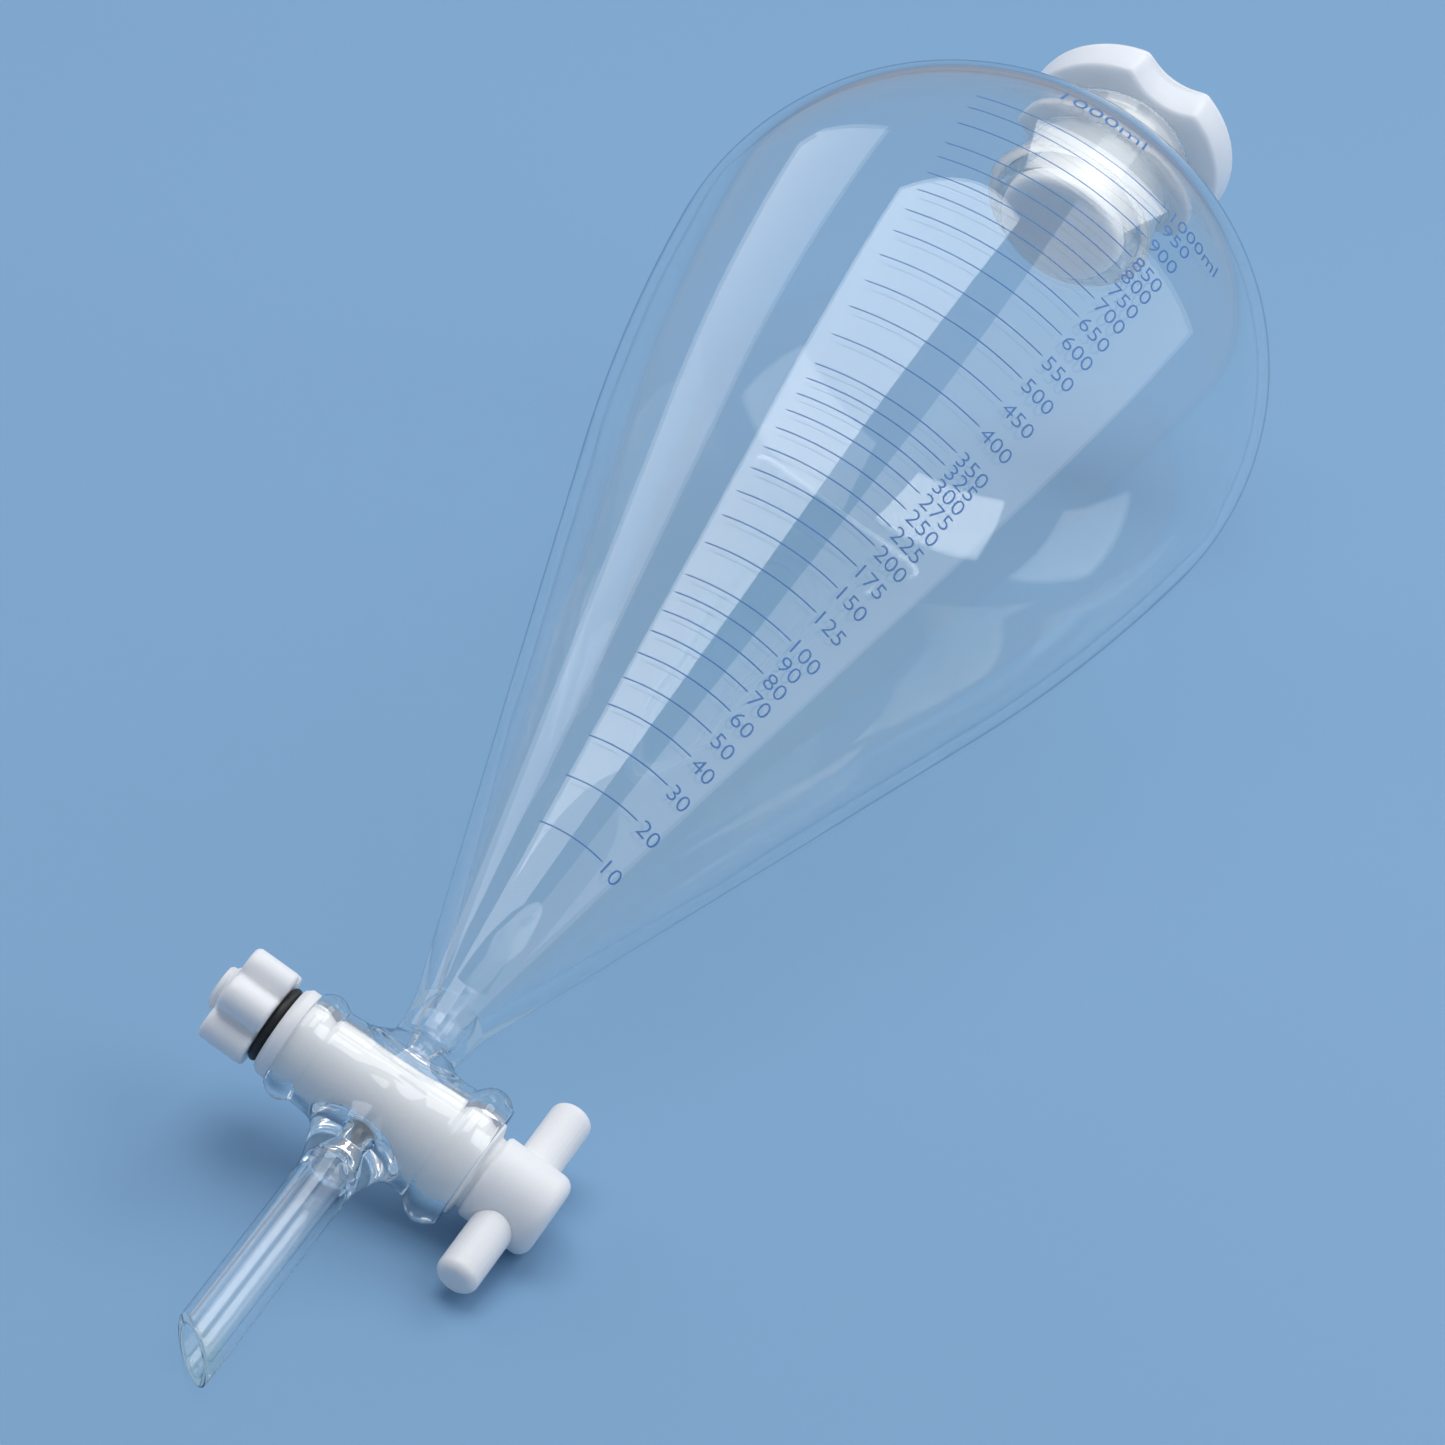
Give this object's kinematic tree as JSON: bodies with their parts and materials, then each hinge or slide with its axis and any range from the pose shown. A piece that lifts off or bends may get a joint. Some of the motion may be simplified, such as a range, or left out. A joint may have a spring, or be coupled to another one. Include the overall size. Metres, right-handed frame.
{
  "type": "separatory funnel",
  "caption": "Pear-shaped glass separatory funnel with a plastic taper-plug stopcock, a slanted outlet stem and a hollow plastic stopper.",
  "frame": {"origin": "where the stopcock axis crosses the funnel axis", "axes": "+Z along the funnel axis up to the stopper, +X along the stopcock axis from the tension nut to the handle, graduated side faces -Y"},
  "size_m": [0.1231, 0.1233, 0.3716],
  "materials": {
    "glass": "clear fire-polished borosilicate glass",
    "ground_glass": "ground inside, frosted look",
    "blue_enamel": "fired blue enamel",
    "natural_plastic": "milky natural polyethylene, satin",
    "white_plastic": "turned white fluoroplastic, satin",
    "black_rubber": "smooth moulded rubber"
  },
  "bodies": {
    "glass": {"bulb": "glass", "neck_socket": "ground_glass", "stopcock_barrel": "glass", "drip_stem": "glass", "graduation_scale": "blue_enamel"},
    "key": {"stopcock_key": "white_plastic", "handle_bar": "white_plastic", "washer": "white_plastic"},
    "seal": {"o_ring": "black_rubber"},
    "nut": {"tension_nut": "white_plastic"},
    "stopper": {"stopper": "natural_plastic"}
  },
  "joints": [
    {"name": "key_turn", "type": "hinge", "parent": "glass", "child": "key", "pos_m": [0, 0, 0], "axis": [1, 0, 0], "continuous": true},
    {"name": "nut_travel", "type": "slide", "parent": "key", "child": "seal", "axis": [-1, 0, 0], "range_m": [0, 0.003]},
    {"name": "nut_turn", "type": "hinge", "parent": "seal", "child": "nut", "pos_m": [-0.0293, 0, 0], "axis": [-1, 0, 0], "range_deg": [0, 720]},
    {"name": "stopper_lift", "type": "slide", "parent": "glass", "child": "stopper", "axis": [0, 0, 1], "range_m": [0, 0.06]}
  ],
  "couplings": [
    {"joint": "nut_travel", "follows": "nut_turn", "m_per_rad": 0.00023873}
  ]
}
